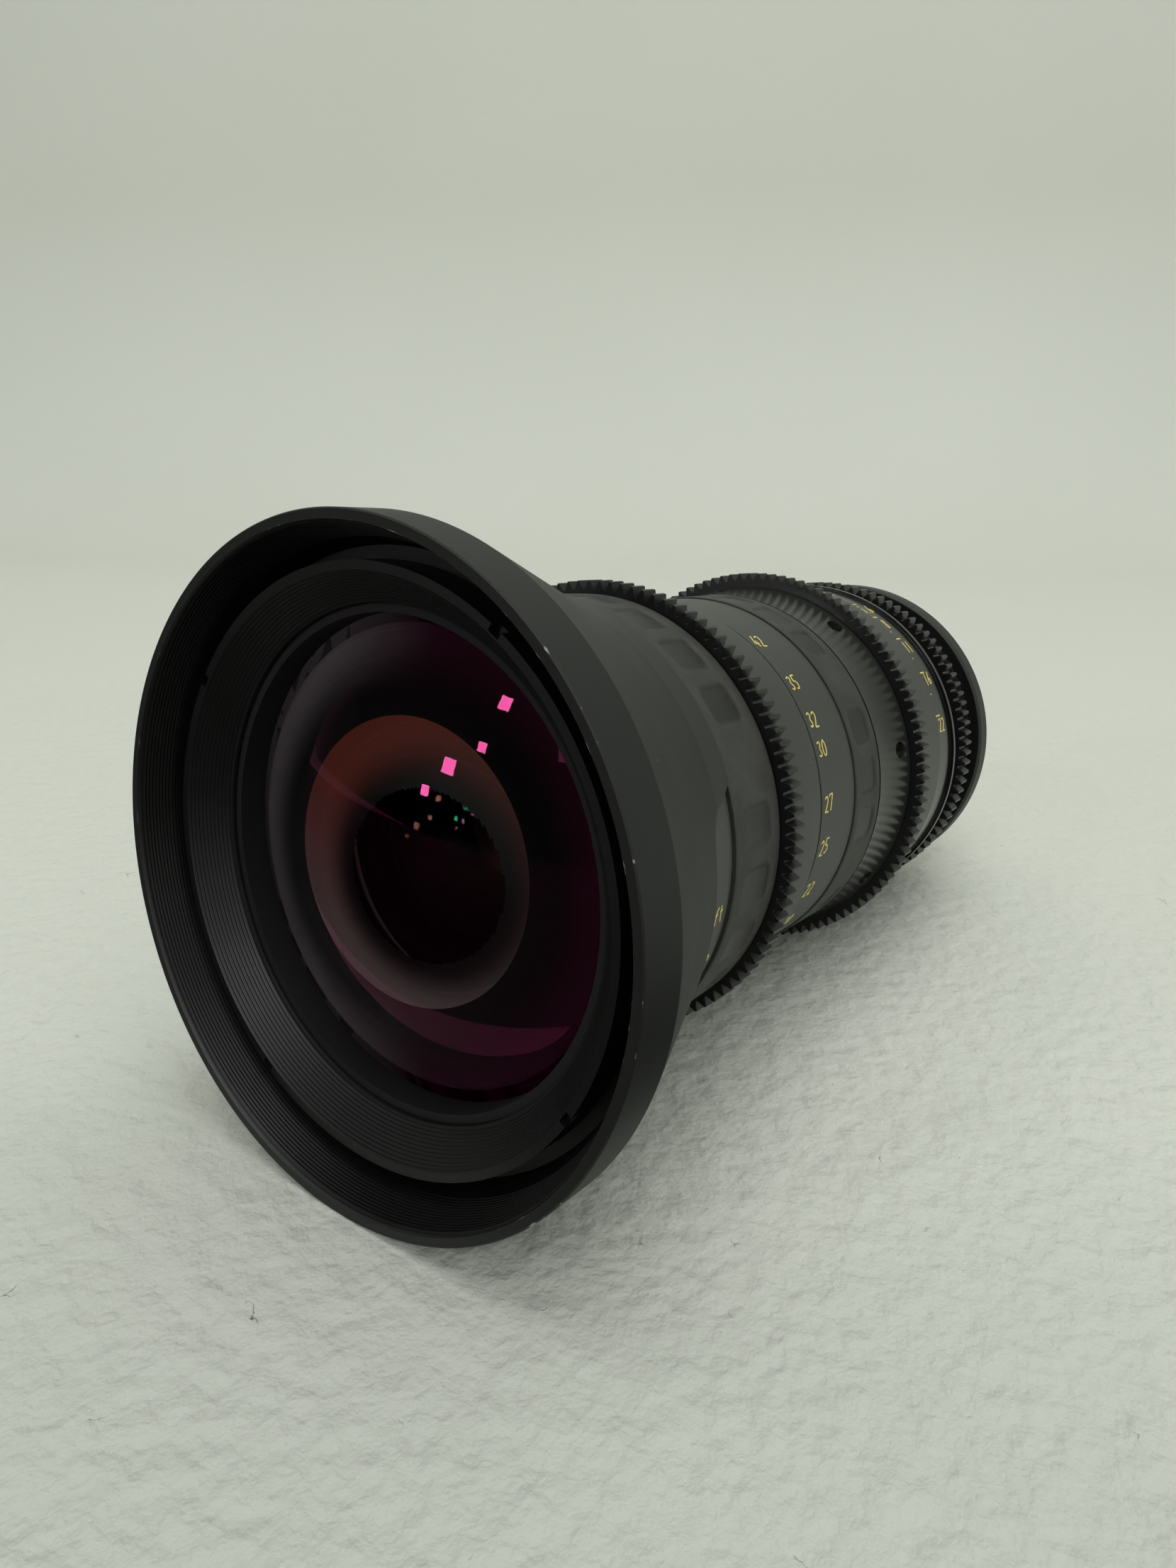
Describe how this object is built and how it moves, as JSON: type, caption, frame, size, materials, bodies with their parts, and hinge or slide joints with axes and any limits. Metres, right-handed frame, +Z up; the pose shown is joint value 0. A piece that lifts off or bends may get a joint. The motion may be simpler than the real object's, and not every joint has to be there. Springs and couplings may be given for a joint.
{
  "type": "cinema zoom lens",
  "caption": "Cine zoom lens with a wide front bell, geared focus, zoom and iris rings, an adjustable iris and a bayonet camera mount.",
  "frame": {"origin": "centre of the seating face of the camera mount, on the optical axis", "axes": "+Y is the optical axis from the front element to the camera, +Z is up with the scales read from the +X side"},
  "size_m": [0.114, 0.213, 0.114],
  "materials": {
    "anodised_black": "matt black anodised",
    "anodised_grey": "satin charcoal anodised",
    "grip_rubber": "matt",
    "mount_steel": "machined",
    "blade_steel": "matt",
    "coated_glass": "coated"
  },
  "bodies": {
    "lens_barrel": {"front_rim": "anodised_black", "front_barrel": "anodised_black", "baffle_ring": "anodised_black", "front_cell": "anodised_black", "front_element": "coated_glass", "second_cell": "anodised_black", "second_element": "coated_glass", "main_tube": "anodised_black", "centre_ring": "anodised_grey", "mid_ring": "anodised_grey", "rear_barrel": "anodised_black", "lens_mount": "mount_steel", "rear_cell": "anodised_black", "rear_element": "coated_glass", "iris_plate": "anodised_black"},
    "focus_ring": {"focus_hub": "anodised_grey", "focus_grip": "grip_rubber", "focus_gear": "anodised_grey"},
    "focus_group": {"focus_cell": "anodised_black", "focus_element": "coated_glass"},
    "zoom_ring": {"zoom_hub": "anodised_grey", "zoom_grip": "grip_rubber", "flared_band": "anodised_grey", "zoom_gear": "anodised_grey"},
    "variator_group": {"variator_cell": "anodised_black", "variator_element": "coated_glass"},
    "compensator_group": {"compensator_cell": "anodised_black", "compensator_element": "coated_glass"},
    "iris_ring": {"iris_hub": "anodised_grey", "iris_gear": "anodised_grey", "iris_drive_ring": "anodised_black", "iris_key": "anodised_black"},
    "blade_1": {"iris_blade_1": "blade_steel"},
    "blade_2": {"iris_blade_2": "blade_steel"},
    "blade_3": {"iris_blade_3": "blade_steel"},
    "blade_4": {"iris_blade_4": "blade_steel"},
    "blade_5": {"iris_blade_5": "blade_steel"},
    "blade_6": {"iris_blade_6": "blade_steel"},
    "blade_7": {"iris_blade_7": "blade_steel"},
    "blade_8": {"iris_blade_8": "blade_steel"},
    "blade_9": {"iris_blade_9": "blade_steel"}
  },
  "joints": [
    {"name": "focus_turn", "type": "hinge", "parent": "lens_barrel", "child": "focus_ring", "pos_m": [0, -0.135, 0], "axis": [0, 1, 0], "range_deg": [0, 300]},
    {"name": "focus_travel", "type": "slide", "parent": "lens_barrel", "child": "focus_group", "axis": [0, -1, 0], "range_m": [0, 0.01]},
    {"name": "zoom_turn", "type": "hinge", "parent": "lens_barrel", "child": "zoom_ring", "pos_m": [0, -0.083, 0], "axis": [0, 1, 0], "range_deg": [-71, 50]},
    {"name": "variator_travel", "type": "slide", "parent": "lens_barrel", "child": "variator_group", "axis": [0, 1, 0], "range_m": [-0.00923, 0.0065]},
    {"name": "compensator_travel", "type": "slide", "parent": "lens_barrel", "child": "compensator_group", "axis": [0, -1, 0], "range_m": [-0.00355, 0.0025]},
    {"name": "iris_turn", "type": "hinge", "parent": "lens_barrel", "child": "iris_ring", "pos_m": [0, -0.032, 0], "axis": [0, 1, 0], "range_deg": [0, 82]},
    {"name": "blade_1_turn", "type": "hinge", "parent": "lens_barrel", "child": "blade_1", "pos_m": [0.027, -0.0311, 0], "axis": [0, 1, 0], "range_deg": [0, 31]},
    {"name": "blade_2_turn", "type": "hinge", "parent": "lens_barrel", "child": "blade_2", "pos_m": [0.02068, -0.0311, 0.01736], "axis": [0, 1, 0], "range_deg": [0, 31]},
    {"name": "blade_3_turn", "type": "hinge", "parent": "lens_barrel", "child": "blade_3", "pos_m": [0.00469, -0.0311, 0.02659], "axis": [0, 1, 0], "range_deg": [0, 31]},
    {"name": "blade_4_turn", "type": "hinge", "parent": "lens_barrel", "child": "blade_4", "pos_m": [-0.0135, -0.0311, 0.02338], "axis": [0, 1, 0], "range_deg": [0, 31]},
    {"name": "blade_5_turn", "type": "hinge", "parent": "lens_barrel", "child": "blade_5", "pos_m": [-0.02537, -0.0311, 0.00923], "axis": [0, 1, 0], "range_deg": [0, 31]},
    {"name": "blade_6_turn", "type": "hinge", "parent": "lens_barrel", "child": "blade_6", "pos_m": [-0.02537, -0.0311, -0.00923], "axis": [0, 1, 0], "range_deg": [0, 31]},
    {"name": "blade_7_turn", "type": "hinge", "parent": "lens_barrel", "child": "blade_7", "pos_m": [-0.0135, -0.0311, -0.02338], "axis": [0, 1, 0], "range_deg": [0, 31]},
    {"name": "blade_8_turn", "type": "hinge", "parent": "lens_barrel", "child": "blade_8", "pos_m": [0.00469, -0.0311, -0.02659], "axis": [0, 1, 0], "range_deg": [0, 31]},
    {"name": "blade_9_turn", "type": "hinge", "parent": "lens_barrel", "child": "blade_9", "pos_m": [0.02068, -0.0311, -0.01736], "axis": [0, 1, 0], "range_deg": [0, 31]}
  ],
  "couplings": [
    {"joint": "focus_travel", "follows": "focus_turn", "m_per_rad": 0.0019099},
    {"joint": "variator_travel", "follows": "zoom_turn", "m_per_rad": 0.0074485},
    {"joint": "compensator_travel", "follows": "zoom_turn", "m_per_rad": 0.0028648},
    {"joint": "blade_1_turn", "follows": "iris_turn", "ratio": 0.37805},
    {"joint": "blade_2_turn", "follows": "iris_turn", "ratio": 0.37805},
    {"joint": "blade_3_turn", "follows": "iris_turn", "ratio": 0.37805},
    {"joint": "blade_4_turn", "follows": "iris_turn", "ratio": 0.37805},
    {"joint": "blade_5_turn", "follows": "iris_turn", "ratio": 0.37805},
    {"joint": "blade_6_turn", "follows": "iris_turn", "ratio": 0.37805},
    {"joint": "blade_7_turn", "follows": "iris_turn", "ratio": 0.37805},
    {"joint": "blade_8_turn", "follows": "iris_turn", "ratio": 0.37805},
    {"joint": "blade_9_turn", "follows": "iris_turn", "ratio": 0.37805}
  ]
}
